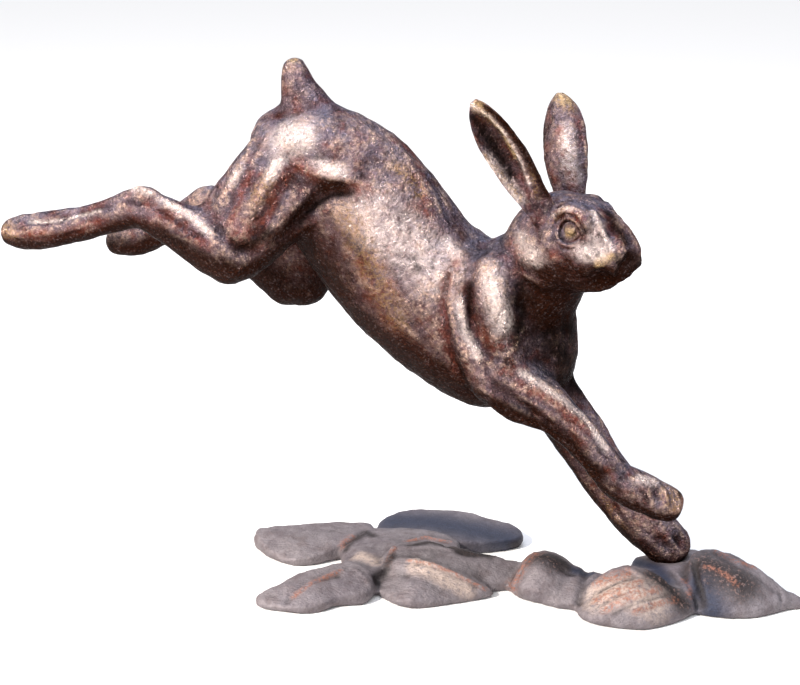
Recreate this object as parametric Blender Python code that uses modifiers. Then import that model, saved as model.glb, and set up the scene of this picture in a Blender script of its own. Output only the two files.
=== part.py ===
"""A leaping hare in cast bronze, landing on one forepaw on a cast ledge of flat rocks.

Run it with: blender --background --python part.py
Metres, +Z up, +X the way the hare leaps, -Y its right-hand side.
The figure and the rocks are drawn in millimetres at their real size, and two scales,
one for each casting, turn the drawing into the object.
"""

import math

import bmesh
import bpy
import numpy as np
from mathutils import Matrix, Vector
from mathutils.bvhtree import BVHTree

# Driving sizes, in metres.
HARE_LENGTH = 0.690  # from the trailing hind toes to the standing forepaw
LEDGE_LENGTH = 0.560  # along the rocks
PAW_CLEARANCE = 0.0003  # between the standing paw and its socket in the rock

# Lengths of the drawings, and the grains they are worked at, in millimetres.
DRAWN_HARE = 690.0
DRAWN_LEDGE = 560.0
MASS_GRAIN = 4.0
CARVING_GRAIN = 2.6
ROCK_GRAIN = 3.0
HARE_FACES = 5700
LEDGE_FACES = 2400

HARE_SCALE = HARE_LENGTH / DRAWN_HARE
LEDGE_SCALE = LEDGE_LENGTH / DRAWN_LEDGE

RING_POINTS = 20  # around each limb and muscle
STEPS_BETWEEN = 3  # rings between two drawn sections
CAP_STEPS = 4  # rings in each rounded end
MUSCLE_RINGS = 12
MASS_SOFTENING = 8  # rounds of smoothing over the joined masses
CARVING_SOFTENING = 2
ROCK_SOFTENING = 1
STROKE_FADE = 1.6  # run in which a carved stroke fades at its ends, in widths of the stroke
STROKE_END = 0.2  # share of its depth that is left at its very ends
SIDE_FACING = 3.0  # how fast a stroke fades where the skin turns away from it
OUT_OF_REACH = 400.0  # clear of the figure on any side, in millimetres

SIDEWAYS = Vector((0.0, 1.0, 0.0))

BRONZE = (0.20, 0.125, 0.095, 1.0)
ROCK_BRONZE = (0.24, 0.20, 0.19, 1.0)

# Joints of the figure, drawn in millimetres: x forwards, y to its left, z up.
HIP = {"right": (-106, -30, 424), "left": (-100, 30, 414)}
KNEE = {"right": (-152, -55, 331), "left": (-125, 52, 277)}
HOCK = {"right": (-250, -56, 371), "left": (-222, 51, 346)}
HIND_TOE = {"right": (-399, -56, 333), "left": (-328, 49, 299)}
SHOULDER = {"right": (108, -44, 290), "left": (134, 42, 270)}
ELBOW = {"right": (102, -52, 214), "left": (144, 44, 180)}
WRIST = {"right": (230, -47, 124), "left": (222, 24, 79)}
FORE_TOE = {"right": (288, -45, 101), "left": (292, 12, 20)}

# The head, drawn from the middle of the skull: forwards along the nose, to its left, up.
SKULL = Vector((147, -18, 355))
HEAD_TURN = math.radians(-28)
HEAD_FORWARD = Matrix.Rotation(HEAD_TURN, 3, "Z") @ Vector((1.0, 0.0, 0.0))
HEAD_LEFT = Matrix.Rotation(HEAD_TURN, 3, "Z") @ SIDEWAYS
UP = Vector((0.0, 0.0, 1.0))


def between(corners, t):
    """The values at share t of the way from the second of four corners to the third, on a smooth curve."""
    return [
        0.5 * (2 * b + (c - a) * t + (2 * a - 5 * b + 4 * c - d) * t * t + (3 * b - a - 3 * c + d) * t ** 3)
        for a, b, c, d in zip(*corners)
    ]


def smooth_path(sections):
    """Sections with more of them between each pair."""
    dense = []
    last = len(sections) - 1
    for i in range(last):
        corners = [sections[max(0, min(last, i + k))] for k in (-1, 0, 1, 2)]
        dense += [between(corners, step / STEPS_BETWEEN) for step in range(STEPS_BETWEEN)]
    dense.append(list(sections[-1]))
    return dense


def ring_of(sheet, centre, across, over, width, height):
    """One elliptical ring of vertices."""
    ring = []
    for k in range(RING_POINTS):
        turn = 2 * math.pi * k / RING_POINTS
        spoke = across * (width * math.cos(turn)) + over * (height * math.sin(turn))
        ring.append(sheet.verts.new(centre + spoke))
    return ring


def capped(sheet, rings):
    """Joins the rings into a closed skin."""
    for ring, following in zip(rings, rings[1:]):
        for k in range(len(ring)):
            after = (k + 1) % len(ring)
            sheet.faces.new((ring[k], ring[after], following[after], following[k]))
    sheet.faces.new(list(reversed(rings[0])))
    sheet.faces.new(rings[-1])
    bmesh.ops.recalc_face_normals(sheet, faces=sheet.faces)
    return sheet


def loft(sections, sideways=SIDEWAYS):
    """A closed mass through sections (x, y, z, half height, half width), with rounded ends.

    The half width lies along sideways and the half height square to it and to the run of the mass.
    """
    dense = smooth_path(sections)
    centres = [Vector(s[:3]) for s in dense]
    frames = []
    for i, section in enumerate(dense):
        run = (centres[min(i + 1, len(dense) - 1)] - centres[max(i - 1, 0)]).normalized()
        across = (sideways - run * sideways.dot(run)).normalized()
        frames.append((centres[i], run, across, run.cross(across), section[3], section[4]))
    swings = [math.pi / 2 * step / CAP_STEPS for step in range(1, CAP_STEPS)]
    sheet = bmesh.new()
    rings = []
    centre, run, across, over, height, width = frames[0]
    for swing in reversed(swings):
        back = centre - run * (min(height, width) * math.sin(swing))
        rings.append(ring_of(sheet, back, across, over, width * math.cos(swing), height * math.cos(swing)))
    for centre, run, across, over, height, width in frames:
        rings.append(ring_of(sheet, centre, across, over, width, height))
    for swing in swings:
        ahead = centre + run * (min(height, width) * math.sin(swing))
        rings.append(ring_of(sheet, ahead, across, over, width * math.cos(swing), height * math.cos(swing)))
    return capped(sheet, rings)


def spindle(start, end, height, width, sideways=SIDEWAYS):
    """A muscle: an ellipsoid stretched between two points."""
    start, end = Vector(start), Vector(end)
    run = end - start
    along = run.normalized()
    across = (sideways - along * sideways.dot(along)).normalized()
    over = along.cross(across)
    turn = Matrix((along, across, over)).transposed().to_4x4()
    sheet = bmesh.new()
    bmesh.ops.create_uvsphere(sheet, u_segments=RING_POINTS, v_segments=MUSCLE_RINGS, radius=1.0)
    bmesh.ops.scale(sheet, vec=(run.length / 2, width, height), verts=sheet.verts)
    bmesh.ops.transform(sheet, matrix=Matrix.Translation((start + end) / 2) @ turn, verts=sheet.verts)
    return sheet


def limb(joints, stations, sideways=SIDEWAYS):
    """Sections along a run of joints. A station is (share of the run, rise, half height, half width)."""
    a, b = (Vector(j) for j in joints)
    run = (b - a).normalized()
    over = run.cross(sideways - run * sideways.dot(run)).normalized()
    return [(*(a + (b - a) * share + over * rise), height, width) for share, rise, height, width in stations]


def trunk():
    """Rump, loin, ribs and chest, one deep narrow barrel that slopes down to the front."""
    barrel = loft([
        (-119, 0, 433, 32, 32),
        (-105, 0, 429, 47, 43),
        (-82, 0, 415, 61, 50),
        (-55, 0, 389, 74, 51),
        (-26, 0, 353, 79, 52),
        (5, 0, 312, 78, 56),
        (38, 0, 284, 79, 60),
        (76, 0, 260, 81, 59),
        (108, 0, 252, 84, 53),
        (134, 0, 246, 63, 44),
    ])
    neck = loft([
        (100, 0, 282, 50, 44),
        (124, -4, 300, 56, 44),
        (143, -12, 328, 50, 41),
        (148, -17, 348, 42, 38),
    ])
    breast = spindle((152, 0, 190), (143, -6, 298), 33, 38)
    tail = loft([
        (-84, 0, 446, 32, 25),
        (-94, 0, 466, 25, 20),
        (-103, 0, 486, 18, 16),
        (-105, 0, 503, 13, 13),
    ])
    return [barrel, neck, breast, tail]


def head_point(forward, left, up):
    """A point of the head, from the middle of the skull, in the head's own directions."""
    return SKULL + HEAD_FORWARD * forward + HEAD_LEFT * left + UP * up


def head():
    skull = loft([
        (*head_point(forward, 0, up), height, width)
        for forward, up, height, width in (
            (-10, 0, 32, 30),
            (2, 1, 43, 38),
            (18, 2, 48, 41),
            (38, 2, 46, 39),
            (57, 1, 41, 34),
            (74, -1, 33, 28),
            (89, -2, 24, 22),
            (95, -3, 18, 19),
        )
    ], HEAD_LEFT)
    masses = [skull]
    for s in (-1, 1):
        masses.append(spindle(head_point(-24, s * 24, -10), head_point(46, s * 24, -20), 24, 20, HEAD_LEFT))
        masses.append(spindle(head_point(18, s * 25, 37), head_point(84, s * 17, 27), 14, 12, HEAD_LEFT))
        masses.append(spindle(head_point(60, s * 16, -4), head_point(105, s * 10, -2), 15, 13, HEAD_LEFT))
    masses.append(spindle(head_point(58, 0, 35), head_point(106, 0, 10), 10, 12, HEAD_LEFT))
    masses.append(spindle(head_point(60, 0, -22), head_point(101, 0, -14), 10, 13, HEAD_LEFT))
    masses.append(spindle(head_point(10, 0, -34), head_point(82, 0, -27), 14, 20, HEAD_LEFT))
    return masses


EAR_ROWS = 15
EAR_RING = 16
EAR_LEAF = 6.2  # thickness
EAR_CUP = 12.0  # how far the rims curl
EAR_BOW = 7.0  # how far the ear bends away from its hollow
EAR_FOOT = {-1: 23.0, 1: 9.0}  # how far forwards the ear starts
EAR_WIDEST = {-1: 20.0, 1: 23.0}  # half the width
EAR_OUTLINE = (  # share of the length, share of the width
    (0.0, 0.60), (0.15, 0.72), (0.35, 0.92), (0.55, 1.0),
    (0.75, 0.92), (0.88, 0.70), (0.96, 0.44), (1.0, 0.18))


def ear(s):
    """A cupped leaf that leans back, its hollow to the side. s is -1 for the right ear and 1 for the left."""
    base = head_point(EAR_FOOT[s], s * 25, 26)
    tip = head_point(-38 + 6 * s, s * 57, 131 - 4 * s)
    run = tip - base
    opening = HEAD_LEFT * (0.9 * s) - HEAD_FORWARD * (0.07 + 0.37 * s) + UP * 0.2
    across = run.cross(opening).normalized() * s
    facing = (opening - run.normalized() * opening.dot(run.normalized())).normalized()
    shares, spreads = zip(*EAR_OUTLINE)
    sheet = bmesh.new()
    rings = []
    for row in range(EAR_ROWS):
        up = row / (EAR_ROWS - 1)
        spread = float(np.interp(up, shares, spreads))
        breadth = EAR_WIDEST[s] * spread
        leaf = min(EAR_LEAF, breadth) / 2
        ring = []
        for k in range(EAR_RING):
            turn = 2 * math.pi * k / EAR_RING
            side = math.cos(turn)
            curl = EAR_CUP * spread * side * side
            bow = EAR_BOW * math.sin(math.pi * up)
            ring.append(sheet.verts.new(
                base + run * up + across * (side * breadth) + facing * (curl - bow + leaf * math.sin(turn))))
        rings.append(ring)
    return capped(sheet, rings)


EYE = (50, 25)  # forwards and up from the middle of the skull
EYEBALL = 8.5  # radius
EYEBALL_RINGS = 10
EYEBALL_SEGMENTS = 16
EYE_SINK = 4.5  # how far the middle of the eyeball lies under the skin
LID_RADIUS = 11.5
LID_THICKNESS = 2.6
LID_SINK = 0.6  # how far the middle of the rim lies under the skin
SOCKET_WIDTH = 18.0
SOCKET_DEPTH = 4.0
LID_RING = 20
LID_TUBE = 8


def on_head(thing, s, forward, up):
    """The skin of the head on that side, and its outward direction."""
    tree = BVHTree.FromObject(thing, bpy.context.evaluated_depsgraph_get())
    place, outward, _, _ = tree.ray_cast(head_point(forward, s * OUT_OF_REACH, up), HEAD_LEFT * -s)
    return place, outward


def press_in(thing, place, outward, width, depth):
    points, _ = vertex_arrays(thing.data)
    away = np.linalg.norm(points - np.array(place), axis=1)
    points -= np.array(outward) * (depth * np.clip(1 - (away / width) ** 2, 0, 1))[:, None]
    thing.data.vertices.foreach_set("co", points.ravel())
    thing.data.update()
    bpy.context.view_layer.update()


def eyeball(place, outward):
    ball = bmesh.new()
    middle = Matrix.Translation(place - outward * EYE_SINK)
    bmesh.ops.create_uvsphere(
        ball, u_segments=EYEBALL_SEGMENTS, v_segments=EYEBALL_RINGS, radius=EYEBALL, matrix=middle)
    return ball


def eyelid(place, outward):
    """A round rim half sunk in the skin."""
    turn = outward.to_track_quat("Z", "Y").to_matrix().to_4x4()
    rim = bmesh.new()
    rings = []
    for i in range(LID_RING):
        around = 2 * math.pi * i / LID_RING
        spoke = Vector((math.cos(around), math.sin(around), 0.0))
        ring = []
        for k in range(LID_TUBE):
            swing = 2 * math.pi * k / LID_TUBE
            reach = LID_RADIUS + LID_THICKNESS * math.cos(swing)
            ring.append(rim.verts.new(spoke * reach + UP * (LID_THICKNESS * math.sin(swing))))
        rings.append(ring)
    for i in range(LID_RING):
        ring, following = rings[i], rings[(i + 1) % LID_RING]
        for k in range(LID_TUBE):
            after = (k + 1) % LID_TUBE
            rim.faces.new((ring[k], ring[after], following[after], following[k]))
    bmesh.ops.recalc_face_normals(rim, faces=rim.faces)
    bmesh.ops.transform(rim, matrix=Matrix.Translation(place - outward * LID_SINK) @ turn, verts=rim.verts)
    return rim


def hind_leg(side):
    """The thigh, the shank and the long foot. A rise is downwards here, as the leg trails."""
    thigh = loft(limb((HIP[side], KNEE[side]), (
        (-0.02, 4, 40, 18),
        (0.35, 5, 50, 25),
        (0.72, 2, 43, 27),
        (1.00, 0, 34, 25),
    )))
    shank = loft(limb((KNEE[side], HOCK[side]), (
        (0.00, 2, 35, 25),
        (0.25, 2, 32, 23),
        (0.50, 1, 27, 20),
        (0.80, 0, 22, 16),
        (0.97, 0, 21, 14),
    )))
    foot = loft(limb((HOCK[side], HIND_TOE[side]), (
        (-0.02, 0, 20, 13),
        (0.18, 4, 18, 13),
        (0.38, 6, 18, 15),
        (0.62, 6, 20, 18),
        (0.80, 4, 19, 18),
        (0.90, 1, 17, 16),
    )))
    hock = Vector(HOCK[side])
    heel = spindle(hock + Vector((-16, 0, 6)), hock + Vector((26, 0, 12)), 14, 11)
    return [thigh, shank, foot, heel]


FORE_RISES = {"right": (7, 15, 16, 6, 0), "left": (0, 0, 0, 0, 0)}
FORE_GIRTH = {"right": (24, 24, 20, 19, 18), "left": (29, 30, 29, 28, 27)}
PAW_GIRTH = {"right": (18, 21, 19), "left": (25, 28, 25)}


def fore_leg(side):
    """The upper arm, the forearm and the paw. The forearm of the right side bows upwards."""
    shoulder, elbow, wrist, toe = SHOULDER[side], ELBOW[side], WRIST[side], FORE_TOE[side]
    rises, girth, palm = FORE_RISES[side], FORE_GIRTH[side], PAW_GIRTH[side]
    upper = loft(limb((shoulder, elbow), (
        (-0.20, 0, 24, 12),
        (0.20, 0, 30, 18),
        (0.60, 0, 31, 20),
        (0.95, 0, 26, 19),
    )))
    forearm = loft(limb((elbow, wrist), (
        (0.00, rises[0], girth[0], 19),
        (0.25, rises[1], girth[1], 19),
        (0.55, rises[2], girth[2], 17),
        (0.82, rises[3], girth[3], 16),
        (1.00, rises[4], girth[4], 15),
    )))
    paw = loft(limb((wrist, toe), (
        (-0.10, 0, palm[0], 15),
        (0.25, 0, palm[1], 19),
        (0.80, 0, palm[2], 19),
    )))
    bend = Vector(elbow)
    elbow_bone = spindle(bend + Vector((-14, 0, -14)), bend + Vector((20, 0, 6)), 13, 13)
    return [upper, forearm, paw, elbow_bone]


def muscles():
    """The masses that show on the right side, and plainer ones on the left, in millimetres."""
    return [
        spindle((-124, -20, 420), (-56, -26, 440), 33, 24),
        spindle((-132, -34, 412), (-186, -46, 360), 18, 18),
        spindle((-100, -38, 430), (-152, -50, 348), 24, 23),
        spindle((-74, -38, 402), (-124, -50, 344), 20, 20),
        spindle((-104, -34, 420), (-20, -38, 400), 24, 17),
        spindle((-120, 22, 424), (-56, 28, 442), 33, 24),
        spindle((-138, 40, 396), (-158, 46, 316), 18, 18),
        spindle((-98, 40, 410), (-134, 50, 296), 27, 22),
        spindle((-92, 34, 414), (-20, 38, 396), 22, 18),
        spindle((-150, 50, 281), (-82, 48, 287), 38, 26),
        spindle((94, -42, 344), (118, -48, 252), 26, 21),
        spindle((69, -34, 344), (70, -46, 254), 16, 16),
        spindle((66, -46, 284), (102, -50, 200), 18, 18),
        spindle((104, 40, 334), (140, 44, 240), 28, 19),
        spindle((84, 42, 310), (130, 46, 190), 22, 17),
        spindle((100, -50, 248), (186, -49, 196), 14, 16),
        spindle((92, -52, 206), (170, -50, 176), 13, 16),
    ]


def joined(name, sheets):
    """One object from several closed meshes, which still pass through each other."""
    whole = bmesh.new()
    for sheet in sheets:
        part = bpy.data.meshes.new("part")
        sheet.to_mesh(part)
        sheet.free()
        whole.from_mesh(part)
        bpy.data.meshes.remove(part)
    mesh = bpy.data.meshes.new(name)
    whole.to_mesh(mesh)
    whole.free()
    thing = bpy.data.objects.new(name, mesh)
    bpy.context.scene.collection.objects.link(thing)
    return thing


def bake(thing):
    """Applies the object's modifiers."""
    bpy.context.view_layer.update()
    graph = bpy.context.evaluated_depsgraph_get()
    mesh = bpy.data.meshes.new_from_object(thing.evaluated_get(graph))
    thing.modifiers.clear()
    old = thing.data
    thing.data = mesh
    bpy.data.meshes.remove(old)


def fuse(thing, grain, rounds):
    """Fuses the masses into one skin, and softens the creases between them."""
    remesh = thing.modifiers.new("fuse", "REMESH")
    remesh.mode = "VOXEL"
    remesh.voxel_size = grain
    soften = thing.modifiers.new("soften", "SMOOTH")
    soften.factor = 0.5
    soften.iterations = rounds
    bake(thing)


def vertex_arrays(mesh):
    points = np.empty(len(mesh.vertices) * 3)
    mesh.vertices.foreach_get("co", points)
    normals = np.empty(len(mesh.vertices) * 3)
    mesh.vertex_normals.foreach_get("vector", normals)
    return points.reshape(-1, 3), normals.reshape(-1, 3)


def distance_to_path(points, path):
    """How far each point is from a run of straight pieces."""
    nearest = np.full(len(points), np.inf)
    for a, b in zip(path, path[1:]):
        run = b - a
        share = np.clip((points - a) @ run / (run @ run), 0, 1)
        nearest = np.minimum(nearest, np.linalg.norm(points - a - share[:, None] * run, axis=1))
    return nearest


def carve(thing, strokes):
    """Presses grooves into the skin, or raises ridges where the depth is negative, fading at both ends.

    A stroke is (side, width, depth, ((x, z), ...)), drawn on that side of the figure: -1 is its right.
    """
    for s, width, depth, path in strokes:
        tree = BVHTree.FromObject(thing, bpy.context.evaluated_depsgraph_get())
        hits = [tree.ray_cast(Vector((x, s * OUT_OF_REACH, z)), Vector((0, -s, 0))) for x, z in path]
        hits = [hit for hit in hits if hit[0] is not None]
        places = [np.array(hit[0]) for hit in hits]
        outward = np.array(sum((hit[1] for hit in hits), Vector()).normalized())
        points, normals = vertex_arrays(thing.data)
        away = distance_to_path(points, places)
        press = np.clip(1 - (away / width) ** 2, 0, 1) ** 2
        press *= np.clip(SIDE_FACING * normals @ outward, 0, 1)
        for end in (places[0], places[-1]):
            from_end = np.linalg.norm(points - end, axis=1)
            press *= np.clip(STROKE_END + from_end / (STROKE_FADE * width), 0, 1)
        points -= outward * (depth * press)[:, None]
        thing.data.vertices.foreach_set("co", points.ravel())
        thing.data.update()
        bpy.context.view_layer.update()


# Grooves and ridges of the muscles, the jaws, the mouth and the toes: (side, width, depth, ((x, z), ...)).
STROKES = (
    (-1, 15, 6, ((-34, 401), (-52, 396), (-70, 386), (-86, 368), (-100, 346))),
    (-1, 11, 4, ((-92, 412), (-106, 388), (-120, 364), (-130, 342))),
    (-1, 11, 4, ((-122, 420), (-143, 392), (-162, 362))),
    (-1, 10, 6, ((82, 334), (84, 300), (82, 274), (94, 256), (112, 248))),
    (-1, 10, 4, ((60, 326), (56, 298), (60, 264), (70, 230), (88, 204))),
    (-1, 9, 4, ((106, 222), (140, 200), (176, 176), (198, 158))),
    (1, 15, 5, ((-34, 390), (-54, 384), (-72, 366), (-90, 330), (-96, 306))),
    (1, 11, 4, ((-122, 400), (-138, 360), (-142, 326))),
    (1, 10, 5, ((80, 330), (94, 296), (110, 262), (128, 240))),
    (-1, 9, -4, ((160, 388), (172, 396), (184, 390))),
    (-1, 10, 4, ((131, 311), (129, 286), (123, 267), (112, 256))),
    (-1, 10, 3.5, ((-168, 367), (-155, 351), (-139, 340), (-124, 340))),
    (-1, 9, 3.5, ((-231, 375), (-205, 362), (-177, 347))),
    (-1, 8, 4, ((-371, 349), (-338, 354), (-302, 363), (-271, 374))),
    (-1, 10, 5, ((112, 345), (130, 338), (154, 329), (172, 321))),
    (-1, 7, 5, ((186, 335), (194, 329), (206, 327), (220, 332), (234, 342))),
    (-1, 7, 5, ((221, 359), (228, 351))),
    (-1, 7, 5, ((258, 133), (267, 126), (270, 112))),
    (-1, 7, 5, ((272, 129), (281, 122), (285, 110))),
    (-1, 7, 5, ((266, 52), (276, 38), (280, 30))),
    (-1, 7, 5, ((281, 54), (291, 42), (296, 32))),
    (1, 10, 5, ((148, 345), (162, 338), (182, 329), (196, 321))),
    (1, 7, 5, ((211, 335), (216, 329), (221, 327), (228, 332), (241, 341))),
    (1, 7, 5, ((240, 359), (246, 351))),
    (1, 8, 4, ((-311, 312), (-282, 322), (-248, 338))),
    (1, 7, 5, ((268, 52), (276, 40), (282, 30))),
    (1, 9, -4, ((192, 388), (202, 396), (212, 390))),
)


def thin_out(thing, faces, weights=None):
    """Brings the mesh down to about that many triangles, keeping more of them where the weights are high."""
    thing.data.calc_loop_triangles()
    thin = thing.modifiers.new("thin", "DECIMATE")
    thin.ratio = faces / len(thing.data.loop_triangles)
    if weights is not None:
        group = thing.vertex_groups.new(name="detail")
        for level in (1, 2, 3, 4):
            group.add(np.flatnonzero(np.round(weights * 4) == level).tolist(), level / 4, "REPLACE")
        thin.vertex_group = "detail"
        thin.invert_vertex_group = True
        thin.vertex_group_factor = 1.0
    bake(thing)
    thing.vertex_groups.clear()


FACE_CENTRE = (50, 0, 5)  # forwards, left and up from the middle of the skull
FACE_REACH = 95.0
PAW_REACH = 60.0
PAW_WEIGHT = 0.5


def closeness(points, centre, reach):
    """One near the centre, and none beyond the reach."""
    away = np.linalg.norm(points - np.array(centre), axis=1)
    return np.clip(1.4 * (1 - away / reach), 0, 1)


def fine_places(mesh):
    """The face and the paws, which keep small triangles."""
    points, _ = vertex_arrays(mesh)
    weights = closeness(points, head_point(*FACE_CENTRE), FACE_REACH)
    for toe in (*FORE_TOE.values(), *HIND_TOE.values()):
        weights = np.maximum(weights, PAW_WEIGHT * closeness(points, toe, PAW_REACH))
    return weights


def closed_curve(points):
    """A rounder outline through the points, with all their values."""
    count = len(points)
    dense = []
    for i in range(count):
        corners = [points[(i + k) % count] for k in (-1, 0, 1, 2)]
        dense += [list(points[i]), between(corners, 0.5)]
    return dense


# Levels of a rock's side: share of the way out, share of the rim's height, whether the edge is taken off.
ROCK_LEVELS = (
    (0.97, 0.0, False),
    (1.0, 0.5, False),
    (0.99, 1.0, True),
    (0.95, 1.0, False),
)
# Rings of a rock's top: share of the way out, share of the rim's height in its height.
ROCK_TOP = ((0.72, 0.70), (0.45, 0.30), (0.20, 0.06))


def rock(crown, edge, outline):
    """A flat rock. The outline holds (x, y, rim height), and the crown is (x, y, height) in the middle."""
    outer = closed_curve(outline)
    crown = Vector(crown)
    middle = Vector((crown.x, crown.y, 0))
    sheet = bmesh.new()
    rings = []
    for share, height, cut in ROCK_LEVELS:
        ring = []
        for x, y, rim in outer:
            place = middle + (Vector((x, y, 0)) - middle) * share
            place.z = max(0.0, (rim - edge * cut) * height)
            ring.append(sheet.verts.new(place))
        rings.append(ring)
    for share, of_rim in ROCK_TOP:
        ring = []
        for x, y, rim in outer:
            place = middle + (Vector((x, y, 0)) - middle) * share
            place.z = rim * of_rim + crown.z * (1 - of_rim)
            ring.append(sheet.verts.new(place))
        rings.append(ring)
    for ring, following in zip(rings, rings[1:]):
        for k in range(len(ring)):
            after = (k + 1) % len(ring)
            sheet.faces.new((ring[k], ring[after], following[after], following[k]))
    top = sheet.verts.new(crown)
    bottom = sheet.verts.new(middle)
    for k in range(len(outer)):
        after = (k + 1) % len(outer)
        sheet.faces.new((rings[-1][k], rings[-1][after], top))
        sheet.faces.new((rings[0][after], rings[0][k], bottom))
    bmesh.ops.recalc_face_normals(sheet, faces=sheet.faces)
    return sheet


def rocks():
    """The ledge, from the dark slab at the back to the fold of rock under the paw."""
    return [
        rock((44, 50, 15), 2, (
            (-35, 30, 13), (-31, 57, 14), (-10, 84, 14), (23, 91, 14), (56, 92, 14), (82, 80, 14),
            (105, 74, 14), (121, 56, 13), (118, 39, 13), (91, 20, 14), (60, 10, 15), (20, -4, 16),
            (-18, 4, 15))),
        rock((12, -10, 24), 3, (
            (-44, -12, 20), (-30, 14, 20), (0, 20, 21), (36, 18, 22), (60, 2, 23), (68, -20, 26),
            (62, -44, 28), (20, -48, 28), (-18, -40, 22))),
        rock((-94, -22, 19), 3, (
            (-154, -12, 18), (-108, 5, 21), (-64, 19, 22), (-34, 22, 22), (-34, -6, 22), (-52, -26, 18),
            (-66, -42, 13), (-88, -57, 9), (-114, -55, 8), (-142, -36, 11))),
        rock((-50, -120, 21), 3, (
            (-112, -145, 10), (-92, -128, 17), (-78, -111, 22), (-56, -98, 26), (-40, -85, 27),
            (-24, -81, 27), (-7, -90, 22), (0, -106, 15), (-6, -124, 11), (-30, -134, 12), (-38, -146, 9),
            (-61, -158, 7), (-98, -157, 7))),
        rock((-20, -54, 22), 4, (
            (-48, -52, 11), (-54, -28, 17), (-30, -14, 22), (2, -22, 26), (12, -50, 28), (6, -78, 20),
            (-14, -94, 22), (-36, -80, 20))),
        rock((62, -52, 28), 3, (
            (0, -76, 24), (2, -50, 33), (20, -36, 34), (40, -31, 34), (71, -31, 30), (112, -31, 25),
            (142, -30, 20), (132, -52, 12), (112, -66, 9), (80, -80, 20), (40, -82, 27))),
        rock((46, -90, 21), 3, (
            (-12, -78, 9), (4, -76, 23), (17, -66, 31), (49, -69, 31), (81, -73, 23), (116, -72, 10),
            (104, -85, 7), (76, -103, 7), (40, -121, 7), (13, -110, 7), (-4, -94, 7))),
        rock((158, -50, 37), 4, (
            (124, -54, 8), (136, -34, 28), (156, -25, 35), (182, -30, 29), (198, -46, 20), (188, -74, 13),
            (166, -80, 14), (140, -75, 14))),
        rock((190, -58, 23), 4, (
            (148, -68, 8), (158, -44, 30), (182, -34, 28), (214, -32, 20), (232, -50, 20), (226, -84, 12),
            (194, -87, 7), (166, -82, 7))),
        rock((252, -80, 34), 4, (
            (198, -88, 9), (206, -72, 26), (223, -60, 38), (243, -54, 43), (264, -56, 42), (284, -60, 34),
            (310, -58, 16), (306, -76, 9), (288, -94, 8), (264, -111, 7), (224, -111, 7), (204, -102, 7))),
        rock((275, -14, 22), 4, (
            (206, -40, 18), (236, -10, 14), (240, 20, 15), (262, 28, 18), (296, 34, 25), (322, 24, 26),
            (330, -8, 30), (314, -46, 20), (280, -66, 24), (240, -64, 24))),
        rock((338, -24, 36), 4, (
            (304, -52, 24), (298, -24, 35), (300, 0, 38), (318, 10, 39), (346, 6, 35), (372, -5, 27),
            (391, -15, 18), (403, -26, 11), (388, -44, 9), (360, -64, 7), (326, -68, 8), (306, -63, 10))),
        rock((396, -22, 11), 3, (
            (378, -28, 10), (384, -12, 12), (400, -10, 10), (412, -18, 8), (412, -28, 6), (400, -34, 5),
            (386, -36, 6))),
    ]


GROUND_SNAP = 1.5

ROCK_STROKES = (
    (7, 4.0, ((304, -20), (309, -42), (312, -62))),
    (6, 2.5, ((-76, -150), (-62, -128), (-36, -108))),
    (6, 3.0, ((324, 0), (346, -18), (384, -28))),
    (7, 4.0, ((200, -34), (202, -56), (200, -84))),
    (6, 3.0, ((232, -44), (250, -52), (290, -58))),
)


def carve_rocks(thing, strokes):
    """Presses creases down into the tops of the rocks. A stroke is (width, depth, ((x, y), ...))."""
    for width, depth, path in strokes:
        points, normals = vertex_arrays(thing.data)
        away = distance_to_path(points[:, :2], [np.array(p, float) for p in path])
        press = np.clip(1 - (away / width) ** 2, 0, 1) ** 2 * (normals[:, 2] > 0.2)
        points[:, 2] -= depth * press
        thing.data.vertices.foreach_set("co", points.ravel())
        thing.data.update()


def flatten_underside(thing):
    """Sets everything that nearly touches the ground on it."""
    points, _ = vertex_arrays(thing.data)
    points[points[:, 2] < GROUND_SNAP, 2] = 0.0
    thing.data.vertices.foreach_set("co", points.ravel())
    thing.data.update()


def ledge_object():
    ledge = joined("rock_base", rocks())
    fuse(ledge, ROCK_GRAIN, ROCK_SOFTENING)
    carve_rocks(ledge, ROCK_STROKES)
    flatten_underside(ledge)
    thin_out(ledge, LEDGE_FACES)
    flatten_underside(ledge)
    return ledge


def grown_copy(thing, growth):
    """A copy of the object with its skin moved out, to cut its own socket with."""
    mesh = thing.data.copy()
    copy = bpy.data.objects.new("socket cutter", mesh)
    bpy.context.scene.collection.objects.link(copy)
    points, normals = vertex_arrays(mesh)
    mesh.vertices.foreach_set("co", (points + normals * growth).ravel())
    mesh.update()
    return copy


def land(hare, ledge):
    """Brings both castings to their real sizes, with the paw on its landing place whatever those are."""
    landing = Vector(FORE_TOE["left"])
    on_the_ledge = Matrix.Translation(landing * LEDGE_SCALE)
    hare.data.transform(on_the_ledge @ Matrix.Scale(HARE_SCALE, 4) @ Matrix.Translation(-landing))
    ledge.data.transform(Matrix.Scale(LEDGE_SCALE, 4))


def unite(thing, sheet):
    """Makes the closed mesh one piece with the object."""
    piece = joined("piece", [sheet])
    union = thing.modifiers.new("union", "BOOLEAN")
    union.operation = "UNION"
    union.solver = "EXACT"
    union.object = piece
    bake(thing)
    bpy.data.objects.remove(piece)


def cut_socket(ledge, hare):
    """The standing paw is let into the rock, with a fine gap all round."""
    cutter = grown_copy(hare, PAW_CLEARANCE)
    cut = ledge.modifiers.new("socket", "BOOLEAN")
    cut.operation = "DIFFERENCE"
    cut.solver = "EXACT"
    cut.object = cutter
    bake(ledge)
    bpy.data.objects.remove(cutter)


def clear_scene():
    for thing in list(bpy.data.objects):
        bpy.data.objects.remove(thing)


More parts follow.
